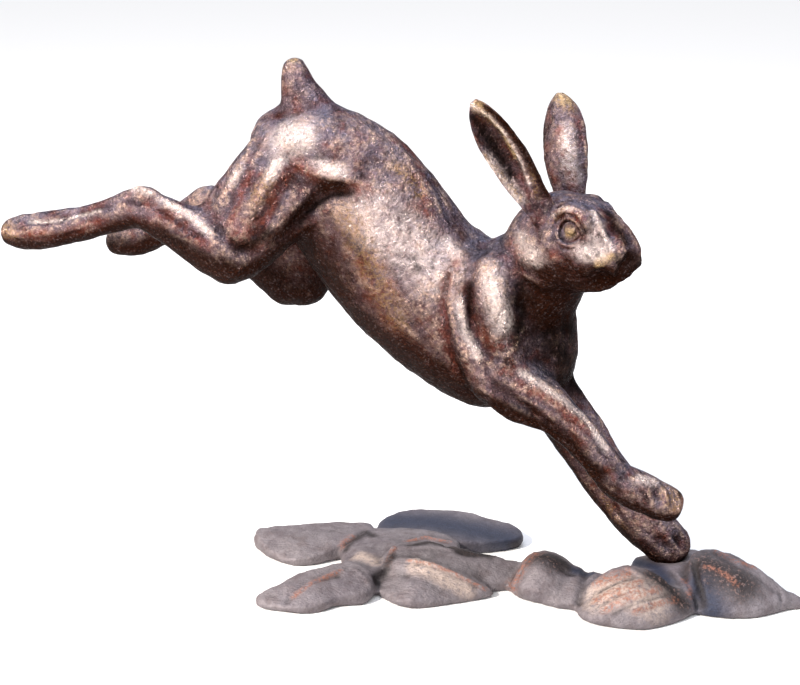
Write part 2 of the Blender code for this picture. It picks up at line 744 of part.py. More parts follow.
def hare_object():
    sheets = trunk() + head() + muscles()
    for side in ("right", "left"):
        sheets += hind_leg(side) + fore_leg(side)
    hare = joined("hare", sheets)
    fuse(hare, MASS_GRAIN, MASS_SOFTENING)
    fuse(hare, CARVING_GRAIN, CARVING_SOFTENING)
    carve(hare, STROKES)
    features = [ear(-1), ear(1)]
    for s in (-1, 1):
        place, outward = on_head(hare, s, *EYE)
        press_in(hare, place, outward, SOCKET_WIDTH, SOCKET_DEPTH)
        place -= outward * SOCKET_DEPTH
        features += [eyeball(place, outward), eyelid(place, outward)]
    thin_out(hare, HARE_FACES, fine_places(hare.data))
    for sheet in features:
        unite(hare, sheet)
    return hare


def centre_on_footprint(things):
    """Moves them together, so that the middle of the footprint is at the origin and the ground at z 0."""
    corners = np.concatenate([vertex_arrays(t.data)[0] for t in things])
    low, high = corners.min(axis=0), corners.max(axis=0)
    shift = Vector((-(low[0] + high[0]) / 2, -(low[1] + high[1]) / 2, -low[2]))
    for thing in things:
        thing.data.transform(Matrix.Translation(shift))
        thing.data.update()
    return shift


def finish(thing, name, colour):
    """Gives the casting its own bronze, and smooth shading."""
    material = bpy.data.materials.new(name)
    material.use_nodes = True
    shader = material.node_tree.nodes["Principled BSDF"]
    shader.inputs["Base Color"].default_value = colour
    shader.inputs["Metallic"].default_value = 0.8
    shader.inputs["Roughness"].default_value = 0.45
    thing.data.materials.clear()
    thing.data.materials.append(material)
    for face in thing.data.polygons:
        face.use_smooth = True


def file_under(name, things):
    collection = bpy.data.collections.new(name)
    bpy.context.scene.collection.children.link(collection)
    for thing in things:
        for holder in list(thing.users_collection):
            holder.objects.unlink(thing)
        collection.objects.link(thing)


def main():
    clear_scene()
    hare = hare_object()
    ledge = ledge_object()
    land(hare, ledge)
    cut_socket(ledge, hare)
    shift = centre_on_footprint([hare, ledge])
    finish(hare, "patinated_bronze", BRONZE)
    finish(ledge, "rock_bronze", ROCK_BRONZE)
    file_under("rabbit garden statue", [hare, ledge])
    return shift


if __name__ == "__main__":
    main()
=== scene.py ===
"""Rabbit garden statue: a leaping hare in patinated cast bronze, on a ledge of cast rocks."""

import math

import bmesh
import bpy
import numpy as np
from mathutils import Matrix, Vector, noise
from mathutils.bvhtree import BVHTree


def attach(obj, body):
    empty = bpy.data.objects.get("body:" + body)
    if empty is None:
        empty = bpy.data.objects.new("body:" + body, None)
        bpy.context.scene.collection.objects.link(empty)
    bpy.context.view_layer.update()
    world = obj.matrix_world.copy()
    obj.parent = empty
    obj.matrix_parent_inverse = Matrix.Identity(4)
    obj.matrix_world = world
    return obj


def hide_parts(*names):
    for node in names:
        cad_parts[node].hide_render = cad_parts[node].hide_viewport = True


MM = 0.001

# Camera at the photograph's angle, in metres, radians and pixels.
CAMERA_AIM = Vector((-0.0071, 0.0328, 0.232))
CAMERA_AZIMUTH = math.radians(14)
CAMERA_ELEVATION = math.radians(19)
CAMERA_DISTANCE = 1.8
IMAGE_WIDTH = 800
IMAGE_HEIGHT = 685
FOCAL_PIXELS = 1800.0
SENSOR = 36.0

# Loose corners of the solids closer than this are one, in millimetres.
MERGE = 0.02
# How the solids become skins fine enough to carve: levels, rounds of smoothing and millimetres.
HARE_ROUNDING = 2
HARE_SOFTENING = 5
ROCK_GRAIN = 1.9
ROCK_SOFTENING = 2
EAR_ROOT_SOFTENING = 12
FACE_FOLD_SOFTENING = 50

# A cut or a softened place is full up to about half its reach, and fades to none at the reach.
CUT_FADE = 2.2
SOFTENED_FADE = 2
# The share of its depth that a stroke has at its ends, and the half widths in which it gains a depth.
STROKE_END = 0.25
STROKE_END_RUN = 2.5

# Lumps left by the fingers: size and height of each kind, in millimetres.
HARE_LUMPS = ((26, 1.2), (11, 0.8), (6, 0.4))
ROCK_LUMPS = ((30, 0.9), (12, 0.5), (5, 0.35))
# The share of the lumps that the calmest skin keeps.
CALM_SHARE = 0.35

# Rounds of evening out: for the way the skin faces, and for its near and its broad neighbourhood.
FACING_ROUNDS = 8
NEAR_ROUNDS = 5
BROAD_ROUNDS = 60
# Painted shade darkens the skin underneath. It counts as underneath where its normal rises by less than this,
# and in full where it falls by 0.3.
UNDERNEATH_BELOW = 0.10
UNDERNEATH_GAIN = 2.4
# How softly a tint ends at its reach.
TINT_FADE = 1.5


def linear(colour):
    """An sRGB hex colour as the linear colour that the shader takes."""
    values = [int(colour[i:i + 2], 16) / 255 for i in (1, 3, 5)]
    return tuple(v / 12.92 if v <= 0.04045 else ((v + 0.055) / 1.055) ** 2.4 for v in values) + (1.0,)


def camera_axes():
    """The camera's right, forward and up directions."""
    right = Vector((math.cos(CAMERA_AZIMUTH), math.sin(CAMERA_AZIMUTH), 0.0))
    level = math.cos(CAMERA_ELEVATION)
    ahead = (-math.sin(CAMERA_AZIMUTH) * level, math.cos(CAMERA_AZIMUTH) * level, -math.sin(CAMERA_ELEVATION))
    forward = Vector(ahead)
    return right, forward, right.cross(forward)


def camera_place():
    return CAMERA_AIM - camera_axes()[1] * CAMERA_DISTANCE


def sight_line(u, v):
    """The direction in which the camera sees a place of the photograph, given in its pixels."""
    right, forward, up = camera_axes()
    across = (u - IMAGE_WIDTH / 2) / FOCAL_PIXELS
    over = (IMAGE_HEIGHT / 2 - v) / FOCAL_PIXELS
    return (forward + right * across + up * over).normalized()


def put_in_scene(thing):
    bpy.context.scene.collection.objects.link(thing)
    return thing


def make_camera():
    data = bpy.data.cameras.new("camera")
    data.sensor_width = SENSOR
    data.lens = SENSOR * FOCAL_PIXELS / IMAGE_WIDTH
    camera = put_in_scene(bpy.data.objects.new("camera", data))
    camera.location = camera_place()
    camera.rotation_mode = "QUATERNION"
    camera.rotation_quaternion = camera_axes()[1].to_track_quat("-Z", "Y")
    bpy.context.scene.camera = camera


def merged_copy(node, name):
    """A copy of a CAD node with its loose triangles joined."""
    sheet = bmesh.new()
    sheet.from_mesh(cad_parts[node].data)
    bmesh.ops.remove_doubles(sheet, verts=sheet.verts, dist=MERGE * MM)
    mesh = bpy.data.meshes.new(name)
    sheet.to_mesh(mesh)
    sheet.free()
    return put_in_scene(bpy.data.objects.new(name, mesh))


def soften_and_bake(thing, rounds):
    """Evens out the skin, and applies the object's modifiers."""
    soften = thing.modifiers.new("soften", "SMOOTH")
    soften.factor = 0.5
    soften.iterations = rounds
    bpy.context.view_layer.update()
    graph = bpy.context.evaluated_depsgraph_get()
    mesh = bpy.data.meshes.new_from_object(thing.evaluated_get(graph))
    thing.modifiers.clear()
    old = thing.data
    thing.data = mesh
    bpy.data.meshes.remove(old)


def points_of(mesh):
    flat = np.empty(len(mesh.vertices) * 3)
    mesh.vertices.foreach_get("co", flat)
    return flat.reshape(-1, 3)


def normals_of(mesh):
    flat = np.empty(len(mesh.vertices) * 3)
    mesh.vertex_normals.foreach_get("vector", flat)
    return flat.reshape(-1, 3)


def put_points(mesh, points):
    mesh.vertices.foreach_set("co", points.ravel())
    mesh.update()


def edges_of(mesh):
    flat = np.empty(len(mesh.edges) * 2, int)
    mesh.edges.foreach_get("vertices", flat)
    return flat.reshape(-1, 2)


def spread(values, edges, rounds):
    """The values, evened out with those of the neighbours."""
    values = np.array(values, float)
    columns = values if values.ndim == 2 else values[:, None]
    a, b = edges[:, 0], edges[:, 1]
    size = len(columns)
    count = np.bincount(edges.ravel(), minlength=size)[:, None] + 1.0
    for _ in range(rounds):
        total = columns.copy()
        for k in range(columns.shape[1]):
            total[:, k] += np.bincount(a, columns[b, k], size) + np.bincount(b, columns[a, k], size)
        columns = total / count
    return columns if values.ndim == 2 else columns[:, 0]


def distance_to_path(points, path):
    """How far each point is from a run of straight pieces, or from the only place of a path."""
    nearest = np.linalg.norm(points - path[0], axis=1)
    for a, b in zip(path, path[1:]):
        run = b - a
        share = np.clip((points - a) @ run / max(run @ run, 1e-12), 0, 1)
        nearest = np.minimum(nearest, np.linalg.norm(points - a - share[:, None] * run, axis=1))
    return nearest


def surface_of(thing):
    bpy.context.view_layer.update()
    return BVHTree.FromObject(thing, bpy.context.evaluated_depsgraph_get())


def sighted(surface, pixels):
    """The places of the skin that the camera sees at these pixels of the photograph."""
    hits = [surface.ray_cast(camera_place(), sight_line(u, v))[0] for u, v in pixels]
    return [np.array(hit) for hit in hits if hit is not None]


def from_left(surface, places):
    """The places of the skin that show from the hare's left at these (x, z), in millimetres."""
    side = Vector((0.0, -1.0, 0.0))
    hits = [surface.ray_cast(Vector((x * MM, 1.0, z * MM)), side)[0] for x, z in places]
    return [np.array(hit) for hit in hits if hit is not None]


def shave(thing, cuts):
    """Pares flats, as a knife does in wax: what stands out beyond a cut's plane is brought back to it.

    A cut is (pixel where it lies, the way it faces, depth, reach), in pixels and millimetres.
    """
    for pixel, facing, depth, reach in cuts.values():
        for spot in sighted(surface_of(thing), [pixel]):
            points = points_of(thing.data)
            outward = np.array(Vector(facing).normalized())
            proud = (points - spot) @ outward + depth * MM
            near = np.clip(CUT_FADE * (1 - np.linalg.norm(points - spot, axis=1) / (reach * MM)), 0, 1)
            put_points(thing.data, points - outward * (np.maximum(proud, 0) * near)[:, None])


def carve(thing, strokes, place):
    """Presses grooves into the skin, or raises ridges where the depth is negative, fading at the ends."""
    surface = surface_of(thing)
    points, normals = points_of(thing.data), normals_of(thing.data)
    sunk = np.zeros(len(points))
    for width, depth, path in strokes.values():
        spots = place(surface, path)
        if not spots:
            continue
        press = np.clip(1 - (distance_to_path(points, spots) / (width * MM)) ** 2, 0, 1) ** 2
        if len(spots) > 1:
            for end in (spots[0], spots[-1]):
                away = np.linalg.norm(points - end, axis=1) / (width * MM)
                press *= np.clip(STROKE_END + away / STROKE_END_RUN, 0, 1)
        sunk += depth * MM * press
    put_points(thing.data, points - normals * sunk[:, None])


def finer_near(thing, spots, reach):
    """Halves the edges round each spot that are longer than a fine one."""
    sheet = bmesh.new()
    sheet.from_mesh(thing.data)
    for spot in spots:
        centre = Vector(spot)
        near = [e for e in sheet.edges if ((e.verts[0].co + e.verts[1].co) / 2 - centre).length < reach * MM]
        edges = [e for e in near if e.calc_length() > FINE_EDGE * MM]
        bmesh.ops.subdivide_edges(sheet, edges=edges, cuts=1, use_grid_fill=True, smooth=0.5)
    sheet.to_mesh(thing.data)
    sheet.free()


def carve_eyes(thing):
    """Cuts the groove round each eyeball, and raises the lids round it."""
    spots = sighted(surface_of(thing), [NEAR_EYE]) + from_left(surface_of(thing), [LEFT_EYE])
    finer_near(thing, spots, EYE_REACH)
    points, normals = points_of(thing.data), normals_of(thing.data)
    sunk = np.zeros(len(points))
    for spot in spots:
        away = np.linalg.norm(points - spot, axis=1) / MM
        for radius, width, depth in EYE_RINGS:
            sunk += depth * MM * np.clip(1 - ((away - radius) / width) ** 2, 0, 1) ** 2
    put_points(thing.data, points - normals * sunk[:, None])


def settle(thing, spots, rounds):
    """Smooths the skin round some spots, each a reach in millimetres and a path of pixels."""
    surface = surface_of(thing)
    points, edges = points_of(thing.data), edges_of(thing.data)
    smooth = spread(points, edges, rounds)
    share = np.zeros(len(points))
    for reach, path in spots.values():
        away = distance_to_path(points, sighted(surface, path)) / (reach * MM)
        share = np.maximum(share, np.clip(SOFTENED_FADE * (1 - away), 0, 1))
    put_points(thing.data, points + (smooth - points) * share[:, None])


def knead(thing, sizes, calm=None):
    """Low uneven lumps, as the fingers leave them in the wax: (size, height) pairs, in millimetres.

    Calm places, of a reach and a path of pixels each, keep a smoother skin.
    """
    points, normals = points_of(thing.data), normals_of(thing.data)
    rise = np.zeros(len(points))
    for size, height in sizes:
        rise += height * np.array([noise.noise(Vector(cell)) for cell in points / (size * MM)])
    if calm:
        surface = surface_of(thing)
        for reach, path in calm.values():
            away = distance_to_path(points, sighted(surface, path)) / (reach * MM)
            rise *= np.clip(away, CALM_SHARE, 1)
    put_points(thing.data, points + normals * (rise * MM)[:, None])


def keep_value(mesh, name, values):
    """Keeps a value from 0 to 1 at each corner of the skin, for the finish to read."""
    attribute = mesh.attributes.new(name, "FLOAT", "POINT")
    attribute.data.foreach_set("value", np.clip(values, 0, 1).astype(np.float32))


def record_relief(thing, fine_height, broad_height):
    """Keeps how far the skin stands out from its neighbourhood or lies back from it, and how it faces.

    What stands out or lies back by a height given in millimetres, or more, counts in full.
    """
    mesh = thing.data
    points, normals, edges = points_of(mesh), normals_of(mesh), edges_of(mesh)
    facing_up = spread(normals[:, 2], edges, FACING_ROUNDS)
    fine = ((points - spread(points, edges, NEAR_ROUNDS)) * normals).sum(axis=1) / MM
    fine = spread(fine, edges, 1)
    broad = ((points - spread(points, edges, BROAD_ROUNDS)) * normals).sum(axis=1) / MM
    keep_value(mesh, "ridge", fine / fine_height)
    # Hollow and sunken mark where the finishes lay painted shade in creases and broad recesses.
    keep_value(mesh, "hollow", -fine / fine_height)
    keep_value(mesh, "swell", broad / broad_height)
    keep_value(mesh, "sunken", -broad / broad_height)
    # Skyward marks where the hare's finish lays a painted bluish reflection of the sky.
    keep_value(mesh, "skyward", facing_up)
    # Underneath marks where the hare's finish lays painted shade on the undersides.
    keep_value(mesh, "underneath", UNDERNEATH_GAIN * (UNDERNEATH_BELOW - facing_up))


def record_tints(thing, tints):
    """Keeps where the finish has a colour of its own, painted highlights and painted shade: one along each
    path, and none beyond its reach.
    """
    surface = surface_of(thing)
    points = points_of(thing.data)
    for name, paths in tints.items():
        level = np.zeros(len(points))
        for reach, path in paths.values():
            spots = sighted(surface, path)
            if spots:
                away = distance_to_path(points, spots) / (reach * MM)
                level = np.maximum(level, np.clip(1 - away ** 2, 0, 1) ** TINT_FADE)
        keep_value(thing.data, name, level)


# Flats of the face: pixel of the photograph, the way it faces, depth and reach in millimetres.
FACE_CUTS = {
    "front of the muzzle": ((625, 262), (0.90, -0.22, -0.38), 4.0, 30),
    "under the whisker pad": ((590, 278), (0.35, -0.62, -0.70), 2.0, 24),
    "top of the nose": ((612, 216), (0.42, 0.05, 0.90), 0.8, 22),
    "far brow end": ((622, 213), (0.80, 0.30, 0.50), 5.6, 20),
    "corner of the far brow": ((605, 198), (0.52, 0.40, 0.76), 1.6, 18),
    "right of the nose": ((623, 236), (0.80, -0.30, 0.52), 1.4, 22),
    "side of the nose": ((596, 236), (0.35, -0.92, 0.16), 2.2, 22),
    "temple": ((548, 212), (-0.25, -0.85, 0.45), 1.8, 22),
}

# The near eye in pixels of the photograph, and the left one as (x, z) in millimetres.
NEAR_EYE = (569, 232)
LEFT_EYE = (199, 380)
# The grooves and rims round each eye: radius, half width and depth in millimetres.
EYE_RINGS = ((9.6, 1.5, 1.3), (12.6, 2.4, -1.7), (16.4, 2.2, 0.7))
# The skin is finer this near to an eye, where its edges are longer than a fine edge: millimetres.
EYE_REACH = 18
FINE_EDGE = 0.9

# Folds of the solid that the face doesn't have: reach in millimetres, then pixels of the photograph.
FACE_FOLDS = {
    "side of the nose": (15, ((602, 224), (607, 234), (600, 244))),
    "far brow": (14, ((603, 199), (611, 206), (616, 213))),
    "jaw": (15, ((512, 248), (524, 262), (540, 272))),
}
# Where the ears meet the head.
EAR_ROOTS = {
    "near ear root": (7, ((524, 206), (534, 224), (542, 208), (552, 204))),
    "far ear root": (6, ((570, 188), (582, 188))),
}
# The leaves of the ears, which are smoother than the rest.
EAR_LEAVES = {
    "near ear": (26, ((478, 112), (500, 146), (524, 192))),
    "far ear": (26, ((562, 104), (566, 150), (572, 184))),
}

# Carving on the side that the photograph shows: half width and depth in millimetres, then where it
# runs, in pixels of the photograph. A negative depth is a ridge.
BODY_STROKES = {
    "thigh rear groove": (5.0, 1.2, ((247, 168), (237, 190), (227, 214))),
    "thigh middle groove": (5.0, 1.2, ((292, 176), (280, 200), (266, 224))),
    "thigh front groove": (6.0, 1.0, ((352, 190), (330, 194), (310, 206), (299, 218), (287, 236))),
    "thigh front brim": (5.0, -1.6, ((292, 160), (312, 172), (334, 180), (354, 180), (372, 190))),
    "thigh front ridge": (6.0, -1.6, ((309, 192), (295, 210), (278, 230))),
    "thigh middle ridge": (7.0, -1.8, ((278, 162), (262, 188), (246, 218))),
    "thigh middle pocket": (5.0, 1.0, ((268, 170), (260, 184), (254, 198))),
    "thigh rear ridge": (6.0, -1.6, ((240, 166), (226, 190), (214, 212))),
    "thigh rear dimple": (4.0, 1.2, ((237, 168), (232, 176))),
    "knee fold": (6.0, 1.2, ((214, 218), (224, 238), (240, 250), (256, 250))),
    "knee bulge groove": (4.0, 1.0, ((228, 222), (250, 232), (266, 228))),
    "knee cap": (10.0, -1.2, ((240, 264),)),
    "rump groove": (6.0, 1.2, ((262, 132), (254, 150), (248, 166))),
    "rump bulge": (11.0, -1.2, ((254, 140),)),
    "hip": (15.0, -2.0, ((288, 140),)),
    "hip hollow": (8.0, 1.4, ((304, 152), (320, 158), (342, 158))),
    "flank bulge": (12.0, -2.0, ((320, 168), (340, 172))),
    "flank dent": (7.0, 1.4, ((352, 166), (362, 176), (368, 190))),
    "shank groove": (4.0, 1.0, ((152, 206), (176, 222), (202, 240))),
    "shank upper ridge": (4.5, -1.4, ((140, 188), (165, 200), (195, 214), (216, 236))),
    "shank upper dent": (3.5, 1.2, ((198, 206),)),
    "hock notch": (4.0, 1.8, ((122, 199), (134, 203), (150, 204))),
    "hock bone": (7.0, -1.6, ((141, 190),)),
    "hock tendon": (4.0, -1.2, ((138, 187), (150, 193))),
    "foot ridge": (4.0, -1.2, ((22, 228), (56, 226), (90, 217), (112, 207))),
    "foot lower groove": (4.0, 1.0, ((26, 238), (58, 238), (92, 228))),
    "foot upper groove": (3.0, 0.9, ((40, 216), (70, 212))),
    "hind toe groove": (2.6, 1.4, ((4, 222), (14, 228), (26, 230))),
    "hind toe lower groove": (2.6, 1.2, ((8, 238), (18, 240), (30, 240))),
    "shoulder rear groove": (5.0, 1.4, ((468, 264), (466, 290), (468, 312), (476, 336), (490, 350))),
    "shoulder outer groove": (5.0, 1.0, ((450, 264), (444, 300), (446, 335), (456, 370), (474, 395))),
    "shoulder outer ridge": (6.0, -1.8, ((461, 258), (452, 285), (450, 310), (460, 345), (472, 372))),
    "shoulder blade": (15.0, -3.2, ((496, 272), (494, 300), (500, 328))),
    "shoulder blade dent": (5.0, 0.9, ((488, 276), (484, 296), (488, 316))),
    "shoulder front edge": (5.0, 1.6, ((518, 278), (520, 300), (518, 322), (512, 342))),
    "shoulder lower lip": (5.0, -1.6, ((474, 330), (488, 350), (504, 356), (516, 346), (514, 326))),
    "shoulder small oval": (6.0, -1.2, ((462, 304), (464, 320), (468, 334))),
    "elbow groove": (4.5, 1.4, ((484, 362), (490, 380), (500, 394))),
    "elbow": (9.0, -1.2, ((486, 392),)),
    "forearm upper groove": (4.0, 1.5, ((508, 362), (540, 382), (572, 406), (600, 438))),
    "forearm tendon": (4.0, -1.6, ((516, 368), (550, 388), (582, 414), (608, 448), (628, 472))),
    "forearm flexor groove": (4.5, 1.2, ((500, 384), (530, 398), (560, 412), (590, 436), (612, 464))),
    "forearm lower ridge": (5.0, -1.2, ((496, 400), (536, 418), (572, 438), (598, 466))),
    "wrist crease": (4.0, 1.2, ((626, 468), (620, 480), (616, 494))),
    "near paw tendon": (3.0, -1.0, ((630, 476), (642, 486), (652, 500))),
    "near toe groove": (3.0, 1.0, ((648, 478), (656, 488), (659, 502))),
    "near inner toe groove": (3.0, 1.0, ((660, 482), (668, 490), (671, 504))),
    "near outer toe groove": (3.0, 1.2, ((638, 484), (645, 496), (648, 510))),
    "far paw bump": (6.0, -1.8, ((650, 540), (664, 552))),
    "far paw hollow": (4.0, 1.4, ((642, 528), (656, 542), (668, 566))),
    "far toe groove": (3.0, 1.2, ((672, 534), (680, 546))),
    "far forearm groove": (4.0, 1.4, ((572, 446), (594, 476), (614, 504), (632, 532))),
    "chest hollow": (9.0, 1.6, ((548, 306), (552, 330), (548, 352))),
    "chest line": (6.0, 1.2, ((570, 306), (566, 336), (568, 362))),
    "neck fold": (7.0, 1.6, ((512, 262), (522, 280), (540, 294), (560, 302))),
    "nape fold": (7.0, 1.0, ((500, 240), (498, 256), (506, 270))),
    "back crest": (7.0, -1.4, ((392, 138), (412, 166), (428, 198), (434, 226))),
    "back furrow": (5.0, 1.2, ((424, 168), (440, 200), (452, 228))),
    "flank line": (9.0, 0.8, ((352, 244), (378, 284), (408, 322), (440, 352))),
    "rib line": (8.0, 0.8, ((398, 206), (412, 246), (424, 290))),
    "second rib line": (8.0, 0.7, ((424, 232), (432, 262), (438, 296))),
    "far thigh line": (6.0, 1.2, ((272, 272), (292, 282), (316, 280))),
    "tail furrow": (4.0, 1.0, ((296, 72), (298, 88), (292, 104))),
}
HEAD_STROKES = {
    "brow arc": (4.2, -2.6, ((549, 222), (556, 212), (568, 207), (580, 212), (587, 224), (588, 232))),
    "brow inner groove": (2.0, 0.8, ((556, 222), (562, 216), (570, 215), (578, 219), (582, 227))),
    "brow upper groove": (3.4, 1.0, ((544, 214), (553, 204), (568, 200), (584, 204), (592, 214))),
    "eye rear corner": (2.6, 1.2, ((549, 224), (556, 230))),
    "nose ridge": (3.4, -2.8, ((592, 210), (599, 224), (606, 238), (613, 251))),
    "right of the nose ridge": (5.0, 1.8, ((604, 212), (612, 226), (620, 240))),
    "nose near side": (9.0, -1.4, ((594, 222), (600, 236), (605, 248))),
    "eyeball": (7.0, -2.4, ((569, 233),)),
    "below the far brow": (8.0, -3.2, ((613, 212), (618, 219), (625, 227))),
    "muzzle edge": (2.6, -1.2, ((612, 254), (604, 262), (596, 268), (586, 271))),
    "mouth": (2.4, 0.7, ((590, 284), (606, 283), (622, 278), (634, 271))),
    "whisker pad": (9.0, -1.6, ((590, 254),)),
    "near nostril": (2.8, 2.0, ((619, 264),)),
    "nose hollow": (4.0, 1.0, ((623, 246), (627, 251))),
    "cheek bone": (9.0, -2.0, ((530, 240),)),
    "cheek swell": (9.0, -2.2, ((556, 260),)),
    "cheek dent": (4.0, 1.4, ((540, 254), (546, 262))),
    "beside the whisker pad": (5.0, 1.2, ((560, 256), (568, 264), (574, 272))),
    "cheek scratch": (3.0, 0.9, ((520, 244), (532, 252), (538, 262))),
    "jaw swell": (8.0, -1.4, ((534, 262),)),
    "jaw line": (5.0, 0.6, ((502, 240), (506, 254), (520, 268), (544, 281))),
    "front of the eye": (3.0, 0.7, ((586, 242), (590, 250))),
    "ear root groove": (3.0, 1.4, ((528, 208), (538, 209), (548, 204))),
    "ear root ridge": (3.5, -1.2, ((536, 214), (534, 224), (530, 232))),
    "between the ears": (4.0, 1.2, ((556, 192), (566, 190))),
    "near ear rim": (2.2, -2.0, ((473, 105), (490, 117), (506, 135), (520, 158), (529, 182), (535, 203))),
    "near ear fold": (3.0, 0.9, ((500, 150), (512, 170), (522, 188))),
    "far ear rim": (2.2, -1.6, ((582, 122), (585, 150), (586, 182))),
    "far ear hollow": (5.0, 0.9, ((578, 124), (580, 150), (580, 178))),
}
# Plainer carving in keeping on the hidden left side: half width and depth, then (x, z), in millimetres.
LEFT_STROKES = {
    "thigh rear ridge": (7.0, -1.6, ((-134, 398), (-148, 356), (-152, 322))),
    "thigh middle ridge": (8.0, -1.8, ((-104, 404), (-118, 360), (-124, 320))),
    "thigh front groove": (6.0, 1.0, ((-36, 388), (-62, 378), (-80, 352), (-92, 306))),
    "hip": (15.0, -2.0, ((-92, 424),)),
    "flank bulge": (12.0, -2.0, ((-46, 400), (-30, 398))),
    "knee fold": (6.0, 1.4, ((-152, 300), (-134, 290), (-112, 292))),
    "shank groove": (5.0, 1.2, ((-206, 336), (-178, 316), (-152, 300))),
    "hock tendon": (4.0, -1.2, ((-234, 354), (-216, 352), (-196, 338))),
    "foot ridge": (4.0, -1.0, ((-330, 296), (-292, 306), (-252, 322))),
    "toe groove": (3.0, 1.1, ((-334, 303), (-320, 306))),
    "shoulder rear groove": (6.0, 1.2, ((78, 330), (86, 300), (92, 272), (108, 250))),
    "shoulder blade ridge": (8.0, -2.0, ((112, 318), (116, 290), (124, 262))),
    "shoulder outer ridge": (6.0, -1.6, ((66, 316), (70, 286), (82, 250))),
    "forearm groove": (5.0, 1.4, ((132, 200), (164, 156), (196, 116), (222, 84))),
    "forearm tendon": (4.0, -1.4, ((158, 190), (186, 152), (212, 118))),
    "paw groove": (3.4, 1.3, ((262, 44), (272, 34), (280, 26))),
    "brow arc": (4.0, -1.8, ((176, 388), (186, 396), (208, 386))),
    "cheek bone": (10.0, -2.0, ((170, 352),)),
    "whisker pad": (8.0, -1.6, ((224, 352),)),
    "back furrow": (5.0, 1.2, ((-10, 396), (16, 366), (36, 346))),
    "flank line": (9.0, 0.8, ((-40, 316), (-10, 280), (24, 250))),
    "rib line": (8.0, 0.8, ((20, 340), (34, 300), (46, 260))),
}
# Creases and raised rims of the rocks: half width and depth in millimetres, then pixels.
LEAF_RIM = ((408, 560), (432, 564), (456, 574), (486, 589))
ROCK_STROKES = {
    "left plate end": (5.0, 2.4, ((340, 550), (352, 540), (366, 528))),
    "upper plate rim": (3.6, -1.8, ((406, 541), (426, 537), (450, 542), (470, 551))),
    "under the upper plate": (4.0, 2.2, ((408, 545), (428, 541), (450, 547), (468, 556))),
    "middle slab rim": (3.6, -1.6, ((390, 562), (393, 548), (440, 548), (480, 555))),
    "leaf rim": (3.0, -2.2, LEAF_RIM),
    "leaf slope foot": (6.0, 1.0, ((396, 572), (416, 580), (446, 592))),
    "front leaf spine": (4.0, -1.6, ((292, 597), (314, 582), (342, 570))),
    "front leaf rim": (3.0, -1.4, ((352, 568), (364, 576), (371, 588))),
    "hump crest": (5.0, -1.6, ((512, 586), (522, 568), (534, 553))),
    "behind the hump": (5.0, 2.0, ((556, 566), (570, 574), (584, 578))),
    "pale stone crest": (4.0, -1.8, ((586, 584), (598, 574), (628, 568), (642, 575), (670, 594), (692, 612))),
    "pale stone streak": (3.6, 1.5, ((594, 594), (612, 585), (634, 578))),
    "pale stone middle streak": (3.6, 1.5, ((598, 606), (622, 594), (650, 586))),
    "pale stone lower streak": (3.6, 1.5, ((614, 614), (642, 602), (668, 596))),
    "fold ridge": (4.0, -2.2, ((676, 572), (686, 590), (694, 610))),
    "fold valley": (5.0, 2.4, ((694, 566), (700, 586), (706, 606))),
    "fold outer ridge": (5.0, -1.4, ((702, 556), (716, 551), (734, 560), (752, 566), (770, 580))),
    "end stone groove": (3.4, 1.8, ((778, 588), (782, 600), (780, 608))),
}
